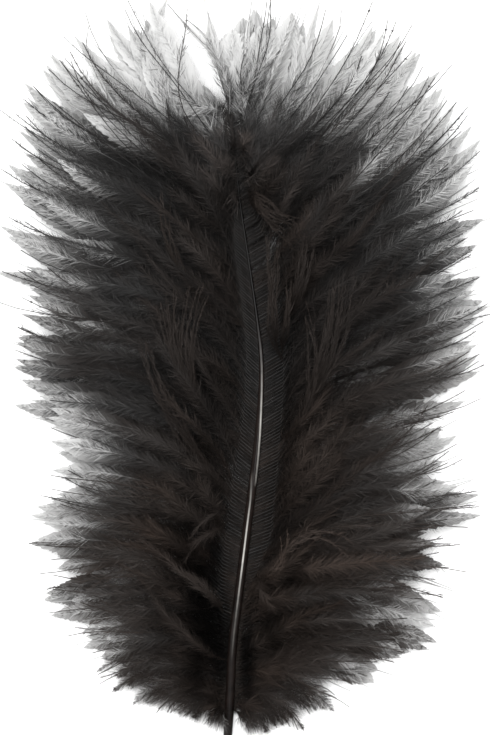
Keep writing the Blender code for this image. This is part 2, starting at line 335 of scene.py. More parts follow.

# %% [markdown]
# ## Leaves and bare stems at the top
#
# Along the top edge single barbs can be told apart: pale leaves that narrow to a bent point, with
# white between them, and stems that lost their barbules and cross the fringe as dark lines. They
# are drawn too: the y of the root, both handles, the tip, then the reach of the barbules
# and the share of the length that is dark.

# %% Draw the leaves and bare stems
LEFT_LEAVES = np.array([
    (40.0, -17.2, 46.6, -19.0, 61.9, -13.4, 69.5, 1.0, 0.3),
    (39.0, -15.8, 47.5, -17.2, 60.1, -15.8, 67.0, 0.9, 0.3),
    (38.0, -17.2, 47.5, -20.4, 58.3, -17.9, 64.1, 0.8, 0.3),
    (46.5, -2.4, 53.8, -7.1, 60.1, -7.3, 70.2, 0.4, 0.25),
    (46.0, -1.7, 52.9, -5.7, 58.3, -6.8, 67.0, 0.5, 0.25),
    (45.5, -2.2, 54.6, -5.6, 60.6, -13.9, 68.9, 0.28, 0.3),
    (45.0, -2.4, 54.2, -5.0, 59.9, -10.6, 65.8, 0.28, 0.3),
    (41.0, -13.6, 44.8, -12.2, 56.5, -11.2, 67.7, 0.1, 0.5),
    (34.0, -15.4, 45.7, -25.3, 58.3, -29.1, 67.1, 0.25, 0.35),
    (31.0, -22.6, 45.7, -33.0, 61.0, -28.5, 64.8, 0.3, 0.35),
    (30.0, -17.2, 38.5, -27.1, 52.0, -32.1, 59.0, 0.05, 0.9),
    (29.0, -18.6, 38.9, -28.3, 51.5, -31.6, 58.0, 0.08, 0.9),
    (28.0, -17.2, 37.6, -27.1, 48.4, -33.6, 58.3, 0.05, 0.9),
    (22.0, -13.6, 34.9, -26.2, 43.9, -35.2, 50.4, 0.08, 0.9),
    (33.0, -17.2, 43.9, -24.4, 53.8, -27.4, 59.8, 0.5, 0.35),
])
RIGHT_LEAVES = np.array([
    (46.8, -1.0, 52.0, -0.4, 60.1, 1.2, 70.0, 0.33, 0.3),
    (46.5, -0.1, 52.9, 3.0, 60.1, 2.2, 67.5, 1.0, 0.3),
    (45.0, 0.8, 52.9, 6.9, 60.1, 4.0, 67.0, 0.9, 0.3),
    (44.0, 3.0, 49.3, 3.0, 60.1, 4.6, 69.8, 0.22, 0.4),
    (42.0, 3.0, 48.4, 7.6, 60.1, 10.3, 69.8, 0.4, 0.4),
    (38.0, 11.2, 49.3, 10.5, 60.1, 13.0, 69.8, 0.55, 0.35),
    (38.5, 9.8, 49.3, 9.4, 60.1, 9.1, 66.8, 0.8, 0.35),
    (36.0, 13.4, 49.3, 16.3, 60.1, 16.6, 67.7, 0.25, 0.4),
    (33.0, 11.6, 47.5, 18.8, 58.3, 23.5, 68.6, 0.05, 0.9),
    (33.5, 12.5, 47.5, 18.8, 58.3, 22.6, 65.9, 0.3, 0.4),
    (31.0, 18.8, 45.7, 23.3, 58.3, 25.8, 65.5, 0.05, 0.9),
    (31.2, 18.8, 45.7, 22.8, 59.2, 27.1, 65.3, 0.05, 0.9),
    (30.0, 17.9, 45.7, 24.2, 56.5, 27.8, 61.9, 0.08, 0.7),
    (29.0, 17.9, 43.9, 25.1, 56.5, 29.1, 61.6, 0.1, 0.7),
    (28.0, 15.2, 42.1, 23.3, 52.9, 30.1, 59.8, 0.05, 0.9),
    (34.0, 11.6, 51.1, 18.8, 55.6, 23.1, 61.6, 0.6, 0.4),
    (25.0, 20.6, 42.1, 27.8, 51.1, 31.6, 57.6, 0.22, 0.6),
    (24.0, 24.2, 40.3, 30.5, 49.3, 33.4, 55.6, 0.18, 0.6),
    (20.0, 18.8, 34.9, 28.7, 45.7, 34.5, 54.9, 0.05, 0.9),
    (21.0, 25.1, 38.5, 32.3, 46.6, 36.4, 51.7, 0.5, 0.6),
    (18.0, 26.0, 34.9, 34.1, 44.8, 38.1, 50.6, 0.12, 0.7),
    (17.0, 26.0, 34.9, 35.0, 42.1, 39.1, 45.2, 0.08, 0.7),
])
print("leaves and bare stems:", len(LEFT_LEAVES), "left and", len(RIGHT_LEAVES), "right")

# %% [markdown]
# ## One list of barbs
#
# From here on a drawn barb is made like all the others, so it is put behind them in the
# same arrays. Strays are treated as covers and leaves as outer barbs. Their own curves are kept
# as handles, with a peak for how high each one rises.

# %% Put the drawn barbs with the others
STRAY_DARK = 0.7
STEM_PEAK, LEAF_PEAK = 8.0, 5.0
LEAF_SURFACES = 0.4


def add_drawn(plan, strays, fans, leaves):
    """Put the drawn barbs behind a side's other barbs."""
    strays = np.concatenate([strays, fan_lines(fans)])
    number = len(strays) + len(leaves)
    leaf = np.arange(number) >= len(strays)
    rows = np.concatenate([strays[:, :7], leaves[:, :7]])
    reach = np.concatenate([strays[:, 9], leaves[:, 7]])
    extra = {
        "tuft": plan["tuft"].max() + 1 + np.arange(number), "root_y": rows[:, 0],
        "kind": np.where(leaf, OUTER, COVER), "layer": np.where(leaf, 0.3, 1.0), "tip": rows[:, 5:7],
        "heading": np.zeros(number), "sweep": np.full(number, 60.0), "length_share": np.ones(number),
        "lean": np.zeros(number), "upright": np.zeros(number), "reach": reach,
        "dark": np.concatenate([np.full(len(strays), STRAY_DARK), leaves[:, 8]]),
        "top": np.where(leaf, 1.0, 0.0),
    }
    for fact, values in extra.items():
        plan[fact] = np.concatenate([plan[fact], values])
    plan["count"] += number
    plan["handles"] = rows[:, 1:]
    leaf_peaks = np.where(leaves[:, 7] < 0.15, STEM_PEAK, LEAF_PEAK)
    plan["peak"] = np.concatenate([strays[:, 7], leaf_peaks])
    plan["surface"] = np.concatenate([strays[:, 8], np.full(len(leaves), LEAF_SURFACES)])
    plan["strays"] = strays


add_drawn(plans["left"], LEFT_STRAYS, LEFT_FANS, LEFT_LEAVES)
add_drawn(plans["right"], RIGHT_STRAYS, RIGHT_FANS, RIGHT_LEAVES)
for name, plan in plans.items():
    print(name, "has", plan["count"], "barbs with the strays, fans and leaves")

# %% [markdown]
# ## The web beside the shaft
#
# For its first 3 or 4 mm a barb lies flat beside the shaft, next to its neighbours, and the row
# of them reads as a narrow ribbed web. It is full along the middle of the shaft and narrow at
# both its ends, and it is not the same on both sides.

# %% Size the web
WEB_RISE = {-1.0: 42.0, 1.0: 30.0}
WEB_FULL_WIDTH = {-1.0: 3.1, 1.0: 4.1}
WEB_LEAST_WIDTH = 0.5
WEB_OPENS = {-1.0: (-48.0, -36.0), 1.0: (-40.0, -28.0)}
WEB_CLOSES = (20.0, 34.0)


def web_width(root_y, side):
    """How wide the web is where a barb has its root."""
    opening = smooth_step(root_y, *WEB_OPENS[side]) * (1.0 - 0.75 * smooth_step(root_y, *WEB_CLOSES))
    return WEB_LEAST_WIDTH + (WEB_FULL_WIDTH[side] - WEB_LEAST_WIDTH) * opening


print("web at y = 0:", [round(float(web_width(0.0, side)), 1) for side in (-1.0, 1.0)], "mm wide")

# %% [markdown]
# ## The path of a barb, seen from above
#
# Beyond the web a barb lets go and sweeps up and outwards to its tip. A cubic Bezier curve does
# that well: two handles set its direction at each end. A slow wave that a tuft shares, and a
# quicker one of the barb's own, keep it from looking drawn with a ruler. The barbs that would
# cross the web are pushed aside, because in a real plume they lie under it.

# %% Draw the barbs from above
PATH_POINTS = 16
FIRST_HANDLE, SECOND_HANDLE = 0.36, 0.34
TUFT_WAVE, OWN_WAVE = 0.5, 0.3
WAVE_FULL_LENGTH = 14.0


def outward(degrees, side):
    """A direction in the plan, as degrees above the horizontal away from the shaft."""
    angle = np.radians(degrees)
    return np.stack([side * np.cos(angle), np.sin(angle)], axis=1)


def bezier(start, first, second, end):
    """Points from start to end on a curve that two handles pull on."""
    share = np.linspace(0.0, 1.0, PATH_POINTS)[None, :, None]
    return (start[:, None] * (1 - share) ** 3 + first[:, None] * 3 * share * (1 - share) ** 2
            + second[:, None] * 3 * share ** 2 * (1 - share) + end[:, None] * share ** 3)


def swept_curves(plan, hinge, drawn):
    """The barbs from the web's edge to their tips, and how far apart the two are."""
    side = plan["side"]
    reach = plan["tip"] - hinge
    distance = np.linalg.norm(reach, axis=1) * plan["length_share"]
    bearing = np.degrees(np.arctan2(reach[:, 1], side * reach[:, 0]))
    bearing += plan["lean"] + (84.0 - bearing) * 0.6 * plan["upright"]
    heading = plan["heading"] + plan["lean"] + (88.0 - plan["heading"]) * plan["upright"]
    sweep = plan["sweep"] + (80.0 - plan["sweep"]) * 0.7 * plan["upright"]
    tip = hinge + outward(bearing, side) * distance[:, None]
    span = distance[:, None]
    first = hinge + outward(sweep, side) * span * FIRST_HANDLE
    second = tip - outward(heading, side) * span * SECOND_HANDLE
    first[drawn], second[drawn], tip[drawn] = (plan["handles"][:, c:c + 2] for c in (0, 2, 4))
    return bezier(hinge, first, second, tip), distance


def waved(plan, curve, distance, share):
    """The curves with a wave across them, small on short barbs."""
    along = unit(np.gradient(curve, axis=1))
    across = np.stack([-along[:, :, 1], along[:, :, 0]], axis=2)
    tuft_phase = rng.uniform(0.0, 2 * math.pi, plan["tuft"].max() + 1)[plan["tuft"]][:, None]
    own_phase = rng.uniform(0.0, 2 * math.pi, plan["count"])[:, None]
    wave = TUFT_WAVE * np.sin(5.0 * share + tuft_phase) + OWN_WAVE * np.sin(9.0 * share + own_phase)
    wave *= smooth_step(share, 0.05, 0.5) * np.minimum(1.0, distance / WAVE_FULL_LENGTH)[:, None]
    return curve + across * wave[:, :, None]


def clear_of_web(plan, curve, drawn, share):
    """The curves pushed away from the shaft where they would lie on the web."""
    side, y = plan["side"], curve[:, :, 1]
    clear = smooth_step(y, *WEB_OPENS[side]) * (1.0 - smooth_step(y, *WEB_CLOSES))
    clear *= WEB_FULL_WIDTH[side] * math.cos(math.radians(WEB_RISE[side])) + 0.9
    clear *= np.where(drawn | (plan["kind"] == UNDER), 0.0, 1.0)[:, None]
    beside = side * (curve[:, :, 0] - np.interp(y, shaft_rows[:, 0], shaft_rows[:, 1]))
    curve[:, :, 0] += side * np.maximum(0.0, clear - beside) * smooth_step(share, 0.0, 0.2)
    return curve


# %% [markdown]
# ## The height of a barb
#
# The height is made apart from the plan: a dip beside the web, a crest halfway and a lower tip.
# The layer says how high the crest and the tip are. The plume is thin near the quill, full in
# the middle and lower again at the top. Strays rise to the peak that was given for them.

# %% Give the barbs their height
WEB_STEPS = 3
STRAY_CLEARANCE = 2.0


def heights(plan, z, drawn, share):
    """The height of every barb at each place along it, for a shaft at height z."""
    layer, root_y = plan["layer"][:, None], plan["root_y"]
    fullness = smooth_step(root_y, -60.0, -38.0)[:, None]
    fullness = fullness * (1.0 - 0.35 * smooth_step(root_y, 15.0, 50.0))[:, None]
    ragged = rng.uniform(0.5, 1.1, plan["count"])[:, None]
    crest = 1.2 + (1.8 + 11.0 * layer) * (0.25 + 0.75 * fullness)
    end = 0.6 + (1.0 + 7.0 * layer) * (0.3 + 0.7 * fullness) * ragged
    crest[drawn, 0] = plan["peak"] + STRAY_CLEARANCE
    end[drawn, 0] = plan["peak"] + np.where(plan["kind"][drawn] == OUTER, -3.0, 1.0)
    valley = np.minimum(z[:, None] * (0.35 + 0.6 * layer), z[:, None])
    under = (plan["kind"] == UNDER)[:, None]
    crest = np.where(under, 0.4 * z[:, None], crest)
    end = np.where(under, 0.5 * z[:, None], end)
    surface = np.full((plan["count"], 1), 0.5)
    surface[drawn, 0] = plan["surface"]
    height = z[:, None] + (valley - z[:, None]) * smooth_step(share, 0.0, 0.14)
    height += (crest - valley) * smooth_step(share, 0.04, surface)
    return height + (end - crest) * smooth_step(share, 0.5, 1.0)


def spaced_points(path, web):
    """The same path with a few even points in the web and the rest evenly beyond it."""
    steps = np.linalg.norm(np.diff(path, axis=0), axis=1)
    travelled = np.concatenate([[0.0], np.cumsum(steps)])
    loose = np.linspace(web, travelled[-1], PATH_POINTS - WEB_STEPS)
    wanted = np.concatenate([np.linspace(0.0, web, WEB_STEPS + 1)[:-1], loose])
    return np.stack([np.interp(wanted, travelled, path[:, axis]) for axis in range(3)], axis=1)


def barb_paths(plan):
    """The path of every barb of a side, from the shaft to its tip, and the width of its web."""
    side, root_y = plan["side"], plan["root_y"]
    x, z, half = shaft_at(root_y)
    root = np.stack([x + side * 0.6 * half, root_y], axis=1)
    web = np.where(plan["kind"] == UNDER, 0.3, web_width(root_y, side))
    web_rise = WEB_RISE[side] * (0.55 + 0.45 * smooth_step(root_y, -40.0, -5.0))
    web_rise = np.minimum(web_rise, plan["sweep"] + 20.0)
    hinge = root + outward(web_rise, side) * web[:, None]
    drawn = np.arange(plan["count"]) >= BARBS_PER_SIDE
    share = np.linspace(0.0, 1.0, PATH_POINTS)[None, :]
    curve, distance = swept_curves(plan, hinge, drawn)
    curve = clear_of_web(plan, waved(plan, curve, distance, share), drawn, share)
    height = heights(plan, z, drawn, share)
    curve = np.concatenate([curve, height[:, :, None]], axis=2)
    flat = np.stack([root[:, 0], root[:, 1], z], axis=1)[:, None]
    paths = np.concatenate([flat, curve], axis=1)
    return np.stack([spaced_points(path, width) for path, width in zip(paths, web)]), web


def frames_along(paths):
    """Direction, sideways and upward vectors at every point of every path."""
    forward = unit(np.gradient(paths, axis=1))
    sideways = unit(np.cross(forward, [0.0, 0.0, 1.0]))
    return forward, sideways, np.cross(sideways, forward)


for name, plan in plans.items():
    plan["paths"], plan["web"] = barb_paths(plan)
    plan["length"] = np.linalg.norm(np.diff(plan["paths"], axis=1), axis=2).sum(axis=1)
    plan["frames"] = frames_along(plan["paths"])
    shortest, longest = plan["length"].min(), plan["length"].max()
    print(name, "barbs are", shortest.round(1), "to", longest.round(1), "mm long")

# %% [markdown]
# ## The stems of the barbs
#
# Each barb has a stem, the ramus, a little thicker than a hair and bare at its end. The dark lines
# in the fringe are stems without barbules. On a feathered outer barb the stem goes grey with the
# film that it carries. In the web the stems get a painted highlight, a slightly paler colour, and
# read as fine ribs. A three-sided tube is enough for something a fifth of a millimetre thick, and
# it keeps the triangles for the barbules.

# %% Make the stems
STEM_SIDES = 3
STEM_WIDTH = (0.2, 0.17)
RIB_PAINTED_HIGHLIGHT = 0.045
END_PALE = 0.8


def make_stems(plan, first, last):
    """Points, triangles and facts of the stems of some barbs."""
    paths = plan["paths"][first:last]
    _, sideways, upward = (part[first:last] for part in plan["frames"])
    count, points = paths.shape[:2]
    share = np.linspace(0.0, 1.0, points)
    radius = 0.5 * (STEM_WIDTH[0] + (STEM_WIDTH[1] - STEM_WIDTH[0]) * share)[None, :, None]
    radius = radius * plan["stem"][first:last, None, None]
    rings = []
    for corner in range(STEM_SIDES):
        angle = math.radians(90.0 + 360.0 * corner / STEM_SIDES)
        rings.append(paths + radius * (math.cos(angle) * sideways + math.sin(angle) * upward))
    cloud = np.stack(rings, axis=2).reshape(-1, 3)
    index = np.arange(len(cloud)).reshape(count, points, STEM_SIDES)
    here, there = index[:, :-1], index[:, 1:]
    here_next, there_next = np.roll(here, -1, axis=2), np.roll(there, -1, axis=2)
    triangles = np.concatenate([
        np.stack([here, here_next, there_next], axis=-1).reshape(-1, 3),
        np.stack([here, there_next, there], axis=-1).reshape(-1, 3),
    ])
    barb = np.repeat(np.arange(first, last), points * STEM_SIDES)
    along = np.tile(np.repeat(share, STEM_SIDES), count)
    out = np.tile(np.linspace(0.0, 0.06, STEM_SIDES), count * points)
    in_web = 1.0 - smooth_step(along, plan["down_start"][barb], plan["down_start"][barb] + 0.04)
    # Painted highlight: stems in the web are made a little paler, as if they caught light.
    rib_highlight = RIB_PAINTED_HIGHLIGHT * in_web * smooth_step(plan["web"][barb], 0.8, 2.4) * (barb < BARBS_PER_SIDE)
    faded = END_PALE * smooth_step(plan["reach"][barb], 0.12, 0.5)
    faded *= smooth_step(along, plan["dark"][barb] - 0.05, plan["dark"][barb] + 0.22)
    faded *= plan["kind"][barb] == OUTER
    return cloud, triangles, strand_facts(plan, barb, along, rib_highlight + faded, out)


# %% [markdown]
# ## The barbules
#
# Barbules leave the stem in two rows, at about 35 degrees. Together they make each barb look like
# a soft leaf of smoke: short beside the web, full along the middle, shorter and sparser near the
# tip, with the stem running on bare beyond them. It takes several hundred thousand of them to
# close the plume, so they are not drawn one by one: each kind of barb gets a curve of how many
# stand where, and random numbers share them out.

# %% Share the barbules out along the barbs
FINE_PER_SIDE = 366000
STIFF_PER_SIDE = 44000
FINE_IN_WEB = 0.11
STIFF_IN_FRINGE = 0.4
STIFF_ON_STRAYS = 0.25
STIFF_DELAY = 0.16
LEAST_WEIGHT = 11.0
LEAF_WEIGHT = 1.5


def places_within(kind, number):
    """Random places along a barb's own down, fewer where the down thins out."""
    place = np.linspace(0.0, 1.0, 200)
    amount = {
        BODY: 1.0 - 0.8 * smooth_step(place, 0.5, 1.0),
        OUTER: 0.6 + 0.4 * smooth_step(place, 0.35, 0.6),
        COVER: 1.0 - 0.6 * smooth_step(place, 0.5, 1.0),
        UNDER: 2.0 - 1.2 * smooth_step(place, 0.05, 0.4),
    }[kind]
    total = np.cumsum(amount * (0.7 + 0.3 * smooth_step(place, 0.0, 0.25)))
    return np.interp(rng.random(number), (total - total[0]) / (total[-1] - total[0]), place)


def spread_along(plan, number, web_share, fringe_share, drawn_weight, delay):
    """Each barbule's barb, its place along the barb and in the barb's down, and its lost dye."""
    count = plan["count"]
    loose = int(number * (1.0 - web_share))
    outer_weight = np.minimum(1.0, 0.2 + plan["reach"])
    weight = np.maximum(plan["length"], LEAST_WEIGHT)
    weight = weight * by_kind(plan["kind"], 1.0, outer_weight, 1.0, 1.3)
    leaf = plan["kind"][BARBS_PER_SIDE:] == OUTER
    weight[BARBS_PER_SIDE:] *= np.where(leaf, LEAF_WEIGHT, drawn_weight)
    barb = np.repeat(np.arange(count), rng.multinomial(loose, weight / weight.sum()))
    own = np.zeros(loose)
    for kind in (BODY, OUTER, COVER, UNDER):
        chosen = plan["kind"][barb] == kind
        own[chosen] = places_within(kind, int(chosen.sum()))
    fringe = (plan["kind"][barb] == OUTER) & (rng.random(loose) < fringe_share)
    spread = rng.normal(0.0, 1.0, loose) * (0.14 + 0.06 * plan["top"][barb])
    own = np.where(fringe, np.clip(plan["dark"][barb] + 0.12 + spread, 0.03, 0.97), own)
    along = plan["down_start"][barb] + own * (plan["down_end"] - plan["down_start"])[barb]
    web_weight = plan["web"] * (np.arange(count) < BARBS_PER_SIDE)
    web_weight = web_weight / web_weight.sum()
    web_barb = np.repeat(np.arange(count), rng.multinomial(number - loose, web_weight))
    web_along = rng.random(number - loose) * plan["down_start"][web_barb]
    barb, along = np.concatenate([barb, web_barb]), np.concatenate([along, web_along])
    own = np.concatenate([own, np.full(number - loose, -1.0)])
    return barb, along, own, pale_share(plan, barb, own, delay)


# %% [markdown]
# ## How much dye a barbule lost
#
# The dye took badly where the down is thinnest, so an outer barb goes from near black to pale
# grey towards its tip, over about half of its length. The single barbules don't change together:
# some stay dark beside pale neighbours, and that gives the fringe its streaks.

# %% Fade the dye
FADE_LENGTH = 0.46
FADE_LEAD = 0.12
BODY_FADE = 0.12


def dye_lost(plan, barb, own, delay):
    """How much dye a barb has lost, more towards its tip, and most on the outer barbs."""
    start = plan["dark"][barb] - FADE_LEAD - 0.12 * plan["top"][barb] + delay
    share = smooth_step(own, start, start + FADE_LENGTH + 0.2 * plan["top"][barb])
    share *= smooth_step(plan["reach"][barb], 0.12, 0.3)
    return by_kind(plan["kind"][barb], BODY_FADE * smooth_step(own, 0.4, 0.95), share, 0.0, 0.0)


def pale_share(plan, barb, own, delay):
    """The same for single barbules: some lost their dye sooner than their neighbours."""
    share = dye_lost(plan, barb, own, delay)
    spread = rng.uniform(-0.35, 0.35, len(barb)) * (share > 0.0)
    return 0.5 * share + 0.5 * smooth_step(share + spread, 0.3, 0.7)


# %% [markdown]
# ## Two kinds of barbule
#
# Most barbules are so fine that one slim triangle each will do. A few are stiffer and stand off
# at a wider angle, and those show as separate dark lines. They get two triangles that meet in a
# bend. A pale barbule is wider and faces upwards, because pale ones lie in the film, where they
# can't be told apart. Barbs also roll and twist, so that one row stands up here and there.

# %% Shape the barbules
FINE_LENGTH = 4.3
FINE_WIDTH = 0.055
STIFF_LENGTH = 3.6
WEB_FINE_LENGTH, WEB_STIFF_LENGTH = 0.9, 0.5
WEB_DROP = 0.16
FINE_SPLAY, FINE_SPLAY_SPREAD = 33.0, 13.0
STIFF_SPLAY, STIFF_SPLAY_SPREAD = 40.0, 16.0
CURL, CURL_SPREAD = 18.0, 8.0
FINE_LIFT, STIFF_LIFT = 30.0, 35.0


def at_places(values, barb, along):
    """What an array of values along the barbs holds at places between its points."""
    place = along * (values.shape[1] - 1)
    low = np.minimum(place.astype(int), values.shape[1] - 2)
    mix = (place - low)[:, None]
    return values[barb, low] * (1.0 - mix) + values[barb, low + 1] * mix


def barb_frame(plan, barb, along, own):
    """A barb's place and direction, and the flat and the upper side of its down there."""
    base = at_places(plan["paths"], barb, along)
    forward, sideways, upward = (unit(at_places(part, barb, along)) for part in plan["frames"])
    roll = np.radians(np.where(own < 0.0, 0.0, plan["roll"][barb] + plan["twist"][barb] * own))[:, None]
    flat = sideways * np.cos(roll) + upward * np.sin(roll)
    tall = upward * np.cos(roll) - sideways * np.sin(roll)
    return base, forward, flat, tall


def barbule_frame(plan, barb, along, own, lift_spread):
    """Where each barbule stands, which way its barb runs, and which way it leaves it."""
    base, forward, flat, tall = barb_frame(plan, barb, along, own)
    lift = np.radians(rng.normal(0.0, 1.0, len(barb)) * np.where(own < 0.0, 6.0, lift_spread))[:, None]
    row = np.where(rng.random(len(barb)) < 0.5, -1.0, 1.0)[:, None]
    return base, forward, flat * row * np.cos(lift) + tall * np.sin(lift)


def down_shape(own, kind):
    """How long the barbules are along a barb: a leaf with a long point on the outer barbs."""
    rise = np.where(kind == UNDER, 0.8, 0.25 + 0.75 * smooth_step(own, 0.0, 0.22))
    leaf = 1.0 - 0.92 * np.clip((own - 0.7) / 0.3, 0.0, 1.0) ** 1.2
    brush = 1.0 - 0.5 * smooth_step(own, 0.6, 1.0)
    return rise * np.where(kind == OUTER, leaf, brush)


def fine_barbules(plan, barb, along, own, pale):
    """Three points each: two at the stem and the tip."""
    base, forward, away = barbule_frame(plan, barb, along, own, FINE_LIFT)
    kind = plan["kind"][barb]
    splay = np.radians(FINE_SPLAY + rng.normal(0.0, FINE_SPLAY_SPREAD, len(barb)))[:, None]
    splay = splay * plan["splay"][barb][:, None]
    length = FINE_LENGTH * plan["reach"][barb] * rng.uniform(0.65, 1.1, len(barb))
    length = length * down_shape(own, kind)
    length = np.where(own < 0.0, WEB_FINE_LENGTH, length)[:, None]
    direction = forward * np.cos(splay) + away * np.sin(splay)
    facing = rng.normal(size=base.shape)
    facing[:, 2] += 5.0 * pale
    face = unit(np.cross(direction, unit(facing)))
    half = 0.5 * FINE_WIDTH * np.where(own < 0.0, 1.4, 1.0 + 1.4 * pale)[:, None]
    base[:, 2] -= np.where(own < 0.0, WEB_DROP, 0.0)
    return np.stack([base + face * half, base - face * half, base + direction * length], axis=1)


def stiff_barbules(plan, barb, along, own, pale):
    """Four points each: the root, both edges of the bend, and the tip."""
    base, forward, away = barbule_frame(plan, barb, along, own, STIFF_LIFT)
    splay = np.radians(STIFF_SPLAY + rng.normal(0.0, STIFF_SPLAY_SPREAD, len(barb)))[:, None]
    splay = splay * plan["splay"][barb][:, None]
    curl = np.radians(CURL + rng.normal(0.0, CURL_SPREAD, len(barb)))[:, None]
    length = STIFF_LENGTH * rng.uniform(0.6, 1.1, len(barb)) * down_shape(own, plan["kind"][barb])
    length = np.where(own < 0.0, WEB_STIFF_LENGTH, length)[:, None]
    first = forward * np.cos(splay) + away * np.sin(splay)
    second = forward * np.cos(splay - curl) + away * np.sin(splay - curl)
    bend = base + first * length * 0.5
    face = unit(np.cross(first, unit(rng.normal(size=base.shape))))
    half = 0.5 * (rng.uniform(0.07, 0.14, len(barb)) * (1.0 - 0.4 * pale))[:, None]
    return np.stack([base, bend + face * half, bend - face * half, bend + second * length * 0.5], axis=1)


# %% [markdown]
# ## Growing the barbules
#
# Before the barbules can grow, each barb needs to know where its down starts and ends, how it
# rolls and twists, and how far its barbules reach. Outer barbs lie flat and the others roll
# freely. Where the film will be, most fine barbules are left out again, since nobody could tell
# them apart there.

# %% Grow the barbules
FLAT_ROLL, FREE_ROLL = 0.35, 1.8
FILM_THINNING = 0.85


for name, plan in plans.items():
    count = plan["count"]
    plan["down_start"] = np.full(count, WEB_STEPS / (PATH_POINTS - 1.0))
    bare = rng.random(count) < 0.3 + 0.3 * plan["top"]
    plan["down_end"] = 1.0 - np.where(bare, rng.uniform(0.06, 0.2, count), 0.015)
    looseness = np.where(plan["kind"] == OUTER, FLAT_ROLL, FREE_ROLL)
    plan["roll"] = rng.normal(0.0, 22.0, count) * looseness
    plan["twist"] = rng.normal(0.0, 40.0, count) * looseness
    grown = plan["length"][:BARBS_PER_SIDE]
    plan["reach"][:BARBS_PER_SIDE] *= 0.35 + 0.65 * smooth_step(grown, 0.5, 6.0)
    plan["splay"] = np.ones(count)
    plan["splay"][BARBS_PER_SIDE:] = np.where(plan["surface"] > 0.5, 0.5, 0.7)
    plan["stem"] = np.ones(count)
    plan["stem"][BARBS_PER_SIDE:] = np.where(plan["kind"][BARBS_PER_SIDE:] == OUTER, 1.0, 0.55)
    fine = spread_along(plan, FINE_PER_SIDE, FINE_IN_WEB, 0.0, 1.0, 0.0)
    kept = rng.random(FINE_PER_SIDE) > FILM_THINNING * smooth_step(fine[3], 0.6, 0.9)
    plan["fine"] = [part[kept] for part in fine]
    plan["stiff"] = spread_along(
        plan, STIFF_PER_SIDE, 0.0, STIFF_IN_FRINGE, STIFF_ON_STRAYS, STIFF_DELAY)
    print(name, "has", len(plan["fine"][0]) + len(plan["stiff"][0]), "barbules")

# %% [markdown]
# ## The film
#
# Near the tips the barbules are too fine to be told apart. They close up into a smooth grey film
# with a toothed edge, and darker strands lie on it. Each long outer barb that has barbules gets a
# thin sheet for it, just below its stem: it spreads forwards and outwards as the barbules do, and
# every tooth has a length of its own. The barbs beside the quill stay loose and get none.

# %% Make the film
FILM_STEPS = 36
FILM_DROP = 0.9
FILM_DELAY = 0.05
FILM_FROM_LENGTH = 14.0
FILM_FROM_Y = -50.0
TOOTH = (0.72, 0.95)


def make_film(plan, first, last):
    """Points, triangles and facts of the thin sheets along some outer barbs."""
    sheets = np.arange(first, last)
    feathered = (plan["kind"] == OUTER) & (plan["reach"] > 0.2)
    feathered &= (plan["length"] > FILM_FROM_LENGTH) & (plan["root_y"] > FILM_FROM_Y)
    sheets = sheets[feathered[sheets]]
    step = np.linspace(0.0, 1.0, FILM_STEPS)
    start = np.clip(plan["dark"][sheets] - 0.18, 0.02, 0.7)[:, None]
    own = (start + (1.0 - start) * step).ravel()
    barb = np.repeat(sheets, FILM_STEPS)
    along = plan["down_start"][barb] + own * (plan["down_end"] - plan["down_start"])[barb]
    middle, forward, flat, _ = barb_frame(plan, barb, along, own)
    middle[:, 2] -= FILM_DROP
    splay = np.radians(FINE_SPLAY) * plan["splay"][barb][:, None]
    length = FINE_LENGTH * plan["reach"][barb] * down_shape(own, plan["kind"][barb])
    length *= np.tile(smooth_step(step, 0.0, 0.35), len(sheets))
    edges = []
    for row in (-1.0, 1.0):
        tooth = (length * rng.uniform(*TOOTH, len(barb)))[:, None]
        edges.append(middle + (forward * np.cos(splay) + row * flat * np.sin(splay)) * tooth)
    cloud = np.stack([edges[0], middle, edges[1]], axis=1).reshape(-1, 3)
    index = np.arange(len(cloud)).reshape(len(sheets), FILM_STEPS, 3)
    here, there = index[:, :-1], index[:, 1:]
    triangles = np.concatenate([
        np.stack([here[:, :, :-1], here[:, :, 1:], there[:, :, 1:]], axis=-1).reshape(-1, 3),
        np.stack([here[:, :, :-1], there[:, :, 1:], there[:, :, :-1]], axis=-1).reshape(-1, 3),
    ])
    pale = dye_lost(plan, barb, own, FILM_DELAY)
    barb, along, pale = (np.repeat(v, 3) for v in (barb, along, pale))
    out = np.tile([0.9, 0.2, 0.9], len(index) * FILM_STEPS)
    return cloud, triangles, strand_facts(plan, barb, along, pale, out)


for name, plan in plans.items():
    long_outer = (plan["kind"] == OUTER) & (plan["length"] > FILM_FROM_LENGTH)
    print(name, "has", int(long_outer.sum()), "outer barbs longer than", FILM_FROM_LENGTH, "mm")


# %% [markdown]
# ## Joining the strands into pieces
#
# One object for each barb would be hundreds of objects, and one object for all of them would be
# too heavy for most tools. The plume is therefore kept as three pieces a side, with about as many
# triangles in each. Every strand carries five facts for the finish: how far along the barb it is,
# how far out on the barbule, how warm its brown is, how light it is and how much dye it lost; on
# the web's stems that last fact also carries a painted highlight.
# They are stored as attributes, and a UV map gives each barb a band of its own, so that a
# texture can be made from them. The plume also has hollows, where the down parts and little light
# gets in; there the strands' lightness is darkened as painted shade. Each is given by its middle
# (x and y), half its width and height, and how dark it is; a negative one is a thin place whose
# strands are made lighter as painted light.

# %% Build one piece of down
PIECE_NAMES = ("lower", "middle", "upper")
FLOOR_CLEARANCE = 0.03
